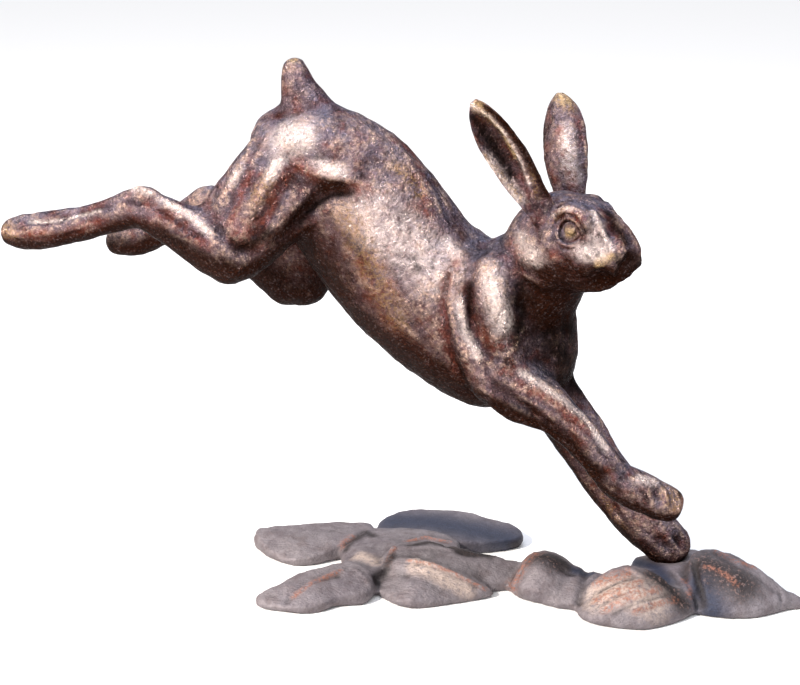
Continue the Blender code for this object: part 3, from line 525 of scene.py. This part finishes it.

# Where the hare's patina has colours of its own, painted highlights and painted shade: reach in millimetres,
# then pixels of the photograph.
HARE_TINTS = {
    "gilded": {
        "lower flank": (20, ((346, 216), (360, 244), (380, 288), (398, 322))),
        "loin": (10, ((396, 168), (410, 178), (420, 192))),
        "thigh middle": (12, ((268, 178), (256, 196))),
        "brow": (5, ((552, 222), (560, 212), (568, 208))),
        "near ear tip": (12, ((476, 102), (490, 116))),
        "near ear left rim": (5, ((484, 156), (500, 174), (520, 198))),
        "near ear root": (5, ((530, 168), (538, 196))),
        "far ear tip": (14, ((558, 94), (568, 104))),
        "hind toe": (14, ((3, 228), (12, 236))),
        "tail tip": (10, ((294, 58),)),
        "near paw": (14, ((668, 494), (676, 504))),
        "far forearm": (8, ((588, 470), (604, 500), (622, 528))),
        "shoulder": (8, ((486, 268), (492, 280))),
    },
    # Painted glints on the facets that the light strikes hardest.
    "painted_glint": {
        "nose ridge": (3.6, ((592, 211), (599, 224), (606, 238), (613, 250))),
        "whisker pad": (12, ((586, 253), (600, 252))),
        "cheek": (15, ((520, 240), (532, 256))),
        "hip": (20, ((284, 134), (300, 138))),
        "haunch fold": (9, ((322, 168), (340, 172))),
        "thigh middle top": (10, ((278, 160), (270, 174))),
        "shoulder blade": (13, ((490, 280), (494, 300), (506, 324))),
        "shoulder line": (6, ((460, 306), (468, 336), (478, 356))),
        "withers": (9, ((446, 242), (454, 254))),
        "far ear": (8, ((564, 140), (568, 166))),
        "near ear rim": (3, ((474, 106), (490, 118), (505, 135), (519, 158), (528, 182))),
        "near ear left rim": (2.5, ((486, 160), (502, 178), (518, 202))),
        "brow": (3.5, ((553, 216), (562, 209), (574, 209))),
        "hock": (5, ((134, 188), (150, 192))),
        "shank top": (5, ((166, 202), (190, 214), (208, 230))),
        "foot top": (3.5, ((30, 222), (62, 221), (100, 211))),
        "forearm tendon": (4, ((524, 374), (556, 396), (588, 424), (604, 446))),
        "near paw": (6, ((640, 478), (654, 482))),
    },
    "polished": {
        "eye": (9, ((569, 233),)),
        "whisker pad corner": (6, ((598, 263), (610, 256))),
        "near ear tip": (7, ((478, 106),)),
        "near ear rim": (3, ((480, 110), (500, 130), (516, 156))),
        "far ear tip": (10, ((560, 96), (566, 100))),
        "tail tip": (7, ((293, 60),)),
    },
    "reddened": {
        "thigh front brim": (9, ((296, 164), (318, 178), (342, 184), (368, 190))),
        "thigh middle edge": (8, ((286, 172), (274, 198), (262, 226))),
        "thigh rear groove": (8, ((250, 176), (240, 198), (232, 220))),
        "thigh low": (14, ((240, 236), (254, 240))),
        "back streak": (9, ((396, 140), (412, 152), (422, 176), (428, 214))),
        "shoulder outer line": (9, ((456, 262), (444, 290), (444, 330), (456, 366))),
        "shoulder oval edge": (10, ((468, 290), (476, 326), (494, 346), (510, 338))),
        "belly": (12, ((360, 270), (388, 318), (430, 362))),
        "brow": (6, ((556, 216), (570, 210), (582, 220))),
        "cheek": (10, ((512, 244), (530, 262), (548, 276))),
        "beside the whisker pad": (8, ((556, 256), (566, 264), (580, 272))),
        "nose top": (9, ((604, 212), (613, 227), (622, 243))),
        "near ear rim": (5, ((480, 108), (500, 128), (516, 152), (528, 178))),
        "shank": (8, ((150, 206), (180, 228), (206, 246))),
        "foot": (8, ((30, 236), (66, 236), (100, 222))),
        "forearm": (8, ((520, 384), (556, 402), (590, 430))),
        "far ear": (8, ((560, 130), (566, 160), (572, 184))),
    },
    # Painted highlights on the most brightly lit places of the hare.
    "painted_highlight": {
        "hip": (28, ((284, 140), (298, 132))),
        "haunch fold": (12, ((318, 166), (340, 172))),
        "thigh middle top": (9, ((278, 160), (270, 176))),
        "thigh rear top": (8, ((238, 170), (232, 182))),
        "flank": (40, ((376, 216), (406, 244), (436, 268))),
        "shoulder blade": (18, ((490, 272), (494, 300), (504, 330))),
        "shoulder line": (8, ((458, 300), (464, 330), (474, 352))),
        "cheek": (17, ((522, 246), (538, 262))),
        "whisker pad": (13, ((580, 252), (598, 253))),
        "near ear rim": (5.5, ((473, 105), (490, 117), (506, 135), (520, 158), (529, 182))),
        "near ear left rim": (3, ((486, 160), (502, 178), (518, 200))),
        "nose ridge": (6, ((594, 214), (602, 230), (610, 248))),
        "side of the nose": (11, ((592, 228), (600, 244))),
        "forearm tendon": (6, ((520, 372), (552, 392), (584, 418), (606, 448))),
        "far ear": (12, ((566, 130), (570, 160), (574, 178))),
        "near ear inner": (10, ((488, 158), (504, 178), (518, 198))),
        "shank top": (6, ((160, 200), (186, 212), (210, 234))),
        "hock": (6, ((134, 188), (148, 192))),
        "near paw": (8, ((640, 480), (652, 482))),
    },
    # Painted shadow on the throat, chest, far leg, under the muzzle and in other shaded places.
    "painted_shadow": {
        "throat": (32, ((528, 300), (552, 312), (572, 330))),
        "chest": (30, ((548, 330), (560, 356), (576, 384))),
        "far thigh": (40, ((266, 272), (290, 296), (316, 292), (330, 276))),
        "far foot": (22, ((112, 246), (134, 250), (156, 244))),
        "under the muzzle": (13, ((600, 278), (622, 276), (636, 268))),
        "muzzle front": (12, ((620, 262), (632, 258))),
        "nose top": (8, ((608, 213), (616, 227), (625, 241))),
        "near ear hollow": (9, ((474, 118), (487, 137), (500, 157), (510, 174))),
        "near ear outer": (6, ((500, 117), (519, 139), (533, 165), (543, 188))),
        "knee": (18, ((222, 264), (246, 272), (266, 262))),
        "front of the shoulder": (11, ((522, 286), (524, 312), (516, 342))),
        "behind the shoulder": (7, ((470, 286), (470, 312))),
        "thigh front groove": (6, ((352, 192), (330, 196), (312, 208), (298, 224))),
        "forearm underside": (11, ((500, 404), (540, 424), (574, 446), (600, 474))),
        "shank underside": (15, ((160, 232), (190, 250), (216, 264))),
        "foot underside": (9, ((20, 244), (60, 245), (100, 234), (130, 226))),
        "thigh low": (11, ((236, 246), (252, 244), (268, 232))),
    },
}
# Where the rocks have colours of their own and painted shade: reach in millimetres, then pixels of the
# photograph.
ROCK_TINTS = {
    # Painted bluish shade on plates and stones that lie in shade.
    "painted_blue_shade": {
        "back slab": (44, ((394, 522), (430, 522), (470, 530), (506, 538))),
        "stone behind the paw": (14, ((634, 562), (656, 568), (666, 580))),
        "fold front": (24, ((700, 584), (708, 598), (712, 612))),
        "behind the hump": (10, ((574, 570), (590, 574))),
    },
    "umber": {
        "fold plate": (30, ((704, 562), (720, 570), (742, 582))),
        "beside the pale stone": (18, ((654, 576), (668, 588), (682, 602))),
        "hump top": (20, ((538, 556), (556, 562))),
        "back slab edge": (10, ((462, 552), (490, 555))),
    },
    "rusty": {
        "left plate end": (8, ((344, 546), (352, 538))),
        "upper plate rim": (4, ((406, 541), (426, 537), (450, 542))),
        "slab end": (5, ((388, 564), (393, 548))),
        "leaf rim": (3.5, LEAF_RIM),
        "leaf spine": (5, ((294, 597), (314, 582), (340, 571))),
        "hump slope": (13, ((512, 586), (524, 566), (534, 554))),
        "pale stone": (10, ((598, 582), (612, 577), (628, 574))),
        "pale stone middle": (6, ((598, 598), (616, 590), (640, 582))),
        "pale stone lower": (6, ((604, 610), (630, 598), (658, 590))),
        "pale stone foot": (5, ((636, 612), (656, 604), (676, 600))),
        "pale stone low": (8, ((596, 600), (620, 592), (640, 590))),
        "fold ridge": (5, ((684, 580), (690, 596))),
        "fold plate": (5, ((706, 566), (722, 572), (736, 584))),
        "fold rim": (5, ((716, 551), (736, 560), (754, 567))),
    },
    "pale": {
        "pale stone": (26, ((600, 596), (626, 588), (652, 604))),
        "leaf slope": (14, ((416, 566), (440, 577), (466, 590))),
        "between the plates": (12, ((358, 556), (374, 562))),
    },
    # Painted shade under the plates and in the creases between them.
    "painted_rock_shade": {
        "left plate end": (7, ((346, 550), (366, 532), (374, 536))),
        "under the upper plate": (5, ((410, 546), (430, 542), (452, 548), (474, 556))),
        "back slab edge": (9, ((458, 551), (484, 554), (520, 545))),
        "hump back": (9, ((552, 556), (566, 566))),
        "leaf left": (8, ((374, 580), (386, 568), (392, 556))),
        "fold valley": (6, ((694, 568), (700, 590), (704, 606))),
    },
}


def node(tree, kind, inputs=None, **settings):
    """Adds a node. An input takes the output that feeds it, or a plain value."""
    made = tree.nodes.new(kind)
    for key, value in settings.items():
        setattr(made, key, value)
    for key, value in (inputs or {}).items():
        if isinstance(value, bpy.types.NodeSocket):
            tree.links.new(value, made.inputs[key])
        else:
            made.inputs[key].default_value = value
    return made


def new_material(name):
    material = bpy.data.materials.new(name)
    material.use_nodes = True
    material.node_tree.nodes.clear()
    return material, material.node_tree


def layered_colour(tree, place, first, layers):
    """Lays cloudy colours over the first one.

    A layer is (colour, its strongest share, the value of the skin that it follows or an empty name,
    size of its clouds in millimetres, and the levels of the clouds where it starts and is full).
    """
    colour = linear(first)
    for tone, share, follows, size, start, full in layers:
        cloud = node(tree, "ShaderNodeTexNoise", {
            "Vector": place, "Scale": 1 / (size * MM), "Detail": 4.0, "Roughness": 0.62})
        cover = node(tree, "ShaderNodeMapRange", {
            "Value": cloud.outputs[0], "From Min": start, "From Max": full, "To Max": share}).outputs[0]
        if follows:
            worn = node(tree, "ShaderNodeAttribute", attribute_name=follows)
            cover = node(tree, "ShaderNodeMath", {
                0: cover, 1: worn.outputs["Fac"]}, operation="MULTIPLY").outputs[0]
        colour = node(tree, "ShaderNodeMix", {
            "Factor": cover, 6: colour, 7: linear(tone)}, data_type="RGBA").outputs[2]
    return colour


def relief(tree, place, textures):
    """Fine relief as stacked bumps: (size in millimetres, height in millimetres, strength, stretch)."""
    normal = None
    for size, height, strength, stretch in textures:
        laid = node(tree, "ShaderNodeMapping", {
            "Vector": place, "Rotation": (0.0, math.radians(35), 0.0), "Scale": stretch})
        lumps = node(tree, "ShaderNodeTexNoise", {
            "Vector": laid.outputs[0], "Scale": 1 / (size * MM), "Detail": 3.0, "Roughness": 0.6})
        below = {"Normal": normal} if normal else {}
        normal = node(tree, "ShaderNodeBump", {
            "Height": lumps.outputs[0], "Strength": strength, "Distance": height * MM, **below}).outputs[0]
    return normal


def patinated_bronze():
    """Cast bronze under a brushed-on chemical patina, waxed and rubbed by hand.

    The umber patina is thin, so mauve and red copper show through in clouds. What stands proud is rubbed
    to a pale pinkish metal and a few tips to yellow. Painted highlights and glints lie on the most brightly
    lit places, a painted bluish reflection of the sky on what faces up, and painted shade, nearly black, in
    hollows and recesses, on undersides and where shadows fall.
    """
    material, tree = new_material("patinated_cast_bronze")
    place = node(tree, "ShaderNodeTexCoord").outputs["Object"]
    colour = layered_colour(tree, place, "#36201a", (
        ("#593f40", 0.95, "", 48, 0.40, 0.58),
        ("#713a2b", 0.70, "", 17, 0.48, 0.60),
        ("#75636a", 0.65, "", 13, 0.42, 0.64),
        # Painted reflection of the sky: bluish grey on what faces up.
        ("#737689", 0.75, "skyward", 26, 0.30, 0.58),
        ("#957f7e", 0.60, "swell", 8, 0.38, 0.64),
        # Painted highlight, pale pinkish white, where the tint table lays it.
        ("#dccac6", 0.92, "painted_highlight", 7, 0.26, 0.60),
        ("#7f4032", 0.75, "reddened", 6, 0.30, 0.60),
        ("#c29c6c", 0.65, "gilded", 3, 0.44, 0.60),
        ("#dab9a4", 0.70, "ridge", 5, 0.44, 0.64),
        ("#d3bab0", 0.35, "", 2.2, 0.58, 0.66),
        ("#24120d", 0.50, "", 3.0, 0.54, 0.66),
        # Painted shade in creases and broad recesses.
        ("#1c100c", 0.50, "hollow", 6, 0.26, 0.56),
        ("#1f130f", 0.45, "sunken", 14, 0.34, 0.60),
        # Painted shadow, nearly black, where the tint table lays it.
        ("#120b08", 0.95, "painted_shadow", 9, 0.12, 0.44),
        # Painted shade on the undersides, flecked with grey.
        ("#2a140b", 0.97, "underneath", 9, 0.02, 0.40),
        ("#8a7f80", 0.30, "underneath", 2.4, 0.56, 0.66),
        ("#c9ab80", 0.80, "polished", 4, 0.30, 0.56),
        # Painted glints, near white, on the most strongly lit facets.
        ("#ecdbd2", 0.75, "painted_glint", 4, 0.34, 0.62),
    ))
    sheen = node(tree, "ShaderNodeTexNoise", {"Vector": place, "Scale": 1 / (6 * MM), "Detail": 4.0})
    roughness = node(tree, "ShaderNodeMapRange", {
        "Value": sheen.outputs[0], "From Min": 0.35, "From Max": 0.65, "To Min": 0.22, "To Max": 0.40})
    # Dabs of the wax are about 9 mm wide, and the tool marks in them about 4 mm. The pits are finer than
    # 1 mm in the casting, and are drawn as coarse as 2 mm so that they show.
    even = (1.0, 1.0, 1.0)
    normal = relief(tree, place, (
        (9.0, 4.0, 0.70, (0.6, 1.0, 1.0)),
        (4.2, 2.8, 0.95, even),
        (2.1, 1.6, 0.95, even),
    ))
    shader = node(tree, "ShaderNodeBsdfPrincipled", {
        "Base Color": colour, "Metallic": 0.85, "Roughness": roughness.outputs[0], "Normal": normal,
        "Specular Tint": colour})
    node(tree, "ShaderNodeOutputMaterial", {"Surface": shader.outputs[0]})
    return material


def rock_bronze():
    """The same bronze cast as split stone, with a thicker, greyer and duller patina.

    Painted bluish shade lies on some plates, and painted shade nearly black under the plates and in creases
    and hollows. Some plates are a dark umber, and the metal is rubbed orange along the rims.
    """
    material, tree = new_material("stone_cast_bronze")
    place = node(tree, "ShaderNodeTexCoord").outputs["Object"]
    colour = layered_colour(tree, place, "#6a6165", (
        ("#7d7577", 0.80, "", 42, 0.38, 0.60),
        ("#8d8588", 0.45, "", 9, 0.46, 0.64),
        ("#5c4e4d", 0.45, "", 14, 0.50, 0.66),
        # Painted bluish shade, where the tint table lays it.
        ("#2b3042", 0.97, "painted_blue_shade", 30, 0.05, 0.32),
        ("#1f1413", 0.97, "umber", 4, 0.10, 0.42),
        ("#8b6f68", 0.75, "umber", 3, 0.54, 0.66),
        ("#bfab9f", 0.92, "pale", 5, 0.30, 0.52),
        ("#96604a", 0.80, "rusty", 3, 0.40, 0.58),
        ("#2e2422", 0.40, "", 2.4, 0.56, 0.68),
        # Painted shade, nearly black, where the tint table lays it.
        ("#251c1c", 0.90, "painted_rock_shade", 6, 0.18, 0.44),
        # Painted shade in hollows and broad recesses.
        ("#1d1615", 0.70, "hollow", 8, 0.24, 0.50),
        ("#2a2323", 0.50, "sunken", 12, 0.32, 0.56),
    ))
    # Flakes of the stone are about 10 mm wide, and its layers about 4 mm. The grain is finer than 1 mm,
    # and is drawn as coarse as 2 mm so that it shows.
    normal = relief(tree, place, (
        (10.0, 1.6, 0.50, (1.0, 1.0, 1.0)),
        (4.0, 1.2, 0.55, (0.20, 1.8, 1.0)),
        (1.8, 1.2, 0.80, (0.6, 1.0, 1.0)),
    ))
    shader = node(tree, "ShaderNodeBsdfPrincipled", {
        "Base Color": colour, "Metallic": 0.35, "Roughness": 0.55, "Normal": normal})
    node(tree, "ShaderNodeOutputMaterial", {"Surface": shader.outputs[0]})
    return material


def finish(thing, material, cad_node):
    thing.data.materials.clear()
    thing.data.materials.append(material)
    for face in thing.data.polygons:
        face.use_smooth = True
    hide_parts(cad_node)
    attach(thing, "root")


def make_hare():
    hare = merged_copy("hare", "hare_bronze")
    rounder = hare.modifiers.new("round", "SUBSURF")
    rounder.levels = rounder.render_levels = HARE_ROUNDING
    soften_and_bake(hare, HARE_SOFTENING)
    settle(hare, EAR_ROOTS, EAR_ROOT_SOFTENING)
    shave(hare, FACE_CUTS)
    settle(hare, FACE_FOLDS, FACE_FOLD_SOFTENING)
    carve_eyes(hare)
    carve(hare, BODY_STROKES, sighted)
    carve(hare, HEAD_STROKES, sighted)
    carve(hare, LEFT_STROKES, from_left)
    knead(hare, HARE_LUMPS, EAR_LEAVES)
    record_relief(hare, fine_height=0.45, broad_height=3.0)
    record_tints(hare, HARE_TINTS)
    finish(hare, patinated_bronze(), "hare")


def make_rocks():
    rocks = merged_copy("rock_base", "rock_base_bronze")
    squares = rocks.modifiers.new("even", "REMESH")
    squares.mode = "VOXEL"
    squares.voxel_size = ROCK_GRAIN * MM
    soften_and_bake(rocks, ROCK_SOFTENING)
    carve(rocks, ROCK_STROKES, sighted)
    knead(rocks, ROCK_LUMPS)
    points = points_of(rocks.data)
    points[:, 2] = np.maximum(points[:, 2], 0.0)
    put_points(rocks.data, points)
    record_relief(rocks, fine_height=0.6, broad_height=3.0)
    record_tints(rocks, ROCK_TINTS)
    finish(rocks, rock_bronze(), "rock_base")


def area_light(name, place, aim, size, power, colour):
    data = bpy.data.lights.new(name, "AREA")
    data.shape = "DISK"
    data.size = size
    data.energy = power
    data.color = linear(colour)[:3]
    lamp = put_in_scene(bpy.data.objects.new(name, data))
    lamp.location = place
    lamp.rotation_mode = "QUATERNION"
    lamp.rotation_quaternion = (Vector(aim) - Vector(place)).to_track_quat("-Z", "Y")


def make_floor():
    sheet = bmesh.new()
    bmesh.ops.create_grid(sheet, x_segments=1, y_segments=1, size=40.0)
    mesh = bpy.data.meshes.new("floor")
    sheet.to_mesh(mesh)
    sheet.free()
    floor = put_in_scene(bpy.data.objects.new("floor", mesh))
    material, tree = new_material("pale_studio_floor")
    shader = node(tree, "ShaderNodeBsdfPrincipled", {"Base Color": linear("#f3f2f0"), "Roughness": 0.95})
    node(tree, "ShaderNodeOutputMaterial", {"Surface": shader.outputs[0]})
    floor.data.materials.append(material)


def make_daylight():
    """Soft light that is bright overhead and dim towards the horizon, and a key from the upper left."""
    world = bpy.data.worlds.new("daylight")
    world.use_nodes = True
    tree = world.node_tree
    tree.nodes.clear()
    towards = node(tree, "ShaderNodeTexCoord").outputs["Generated"]
    height = node(tree, "ShaderNodeSeparateXYZ", {0: towards}).outputs["Z"]
    strength = node(tree, "ShaderNodeMapRange", {
        "Value": height, "From Min": 0.0, "From Max": 0.9, "To Min": 0.12, "To Max": 1.38})
    background = node(tree, "ShaderNodeBackground", {
        "Color": linear("#f4f6fb"), "Strength": strength.outputs[0]})
    node(tree, "ShaderNodeOutputWorld", {"Surface": background.outputs[0]})
    bpy.context.scene.world = world
    area_light("key", place=(-1.5, -1.3, 1.7), aim=(0.0, 0.0, 0.3), size=0.26, power=104.0, colour="#fff6ee")
    area_light("overhead", place=(0.1, 0.5, 2.2), aim=(0.0, 0.0, 0.2), size=1.2, power=24.0, colour="#dfe8ff")
    bpy.context.scene.view_settings.view_transform = "Standard"


def main():
    make_camera()
    make_hare()
    make_rocks()
    make_floor()
    make_daylight()


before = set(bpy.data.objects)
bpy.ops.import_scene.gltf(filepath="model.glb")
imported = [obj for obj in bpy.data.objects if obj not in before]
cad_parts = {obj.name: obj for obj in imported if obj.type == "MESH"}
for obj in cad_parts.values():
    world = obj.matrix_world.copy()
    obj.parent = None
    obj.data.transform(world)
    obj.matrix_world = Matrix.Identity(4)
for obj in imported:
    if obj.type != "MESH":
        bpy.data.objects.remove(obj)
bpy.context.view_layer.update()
main()
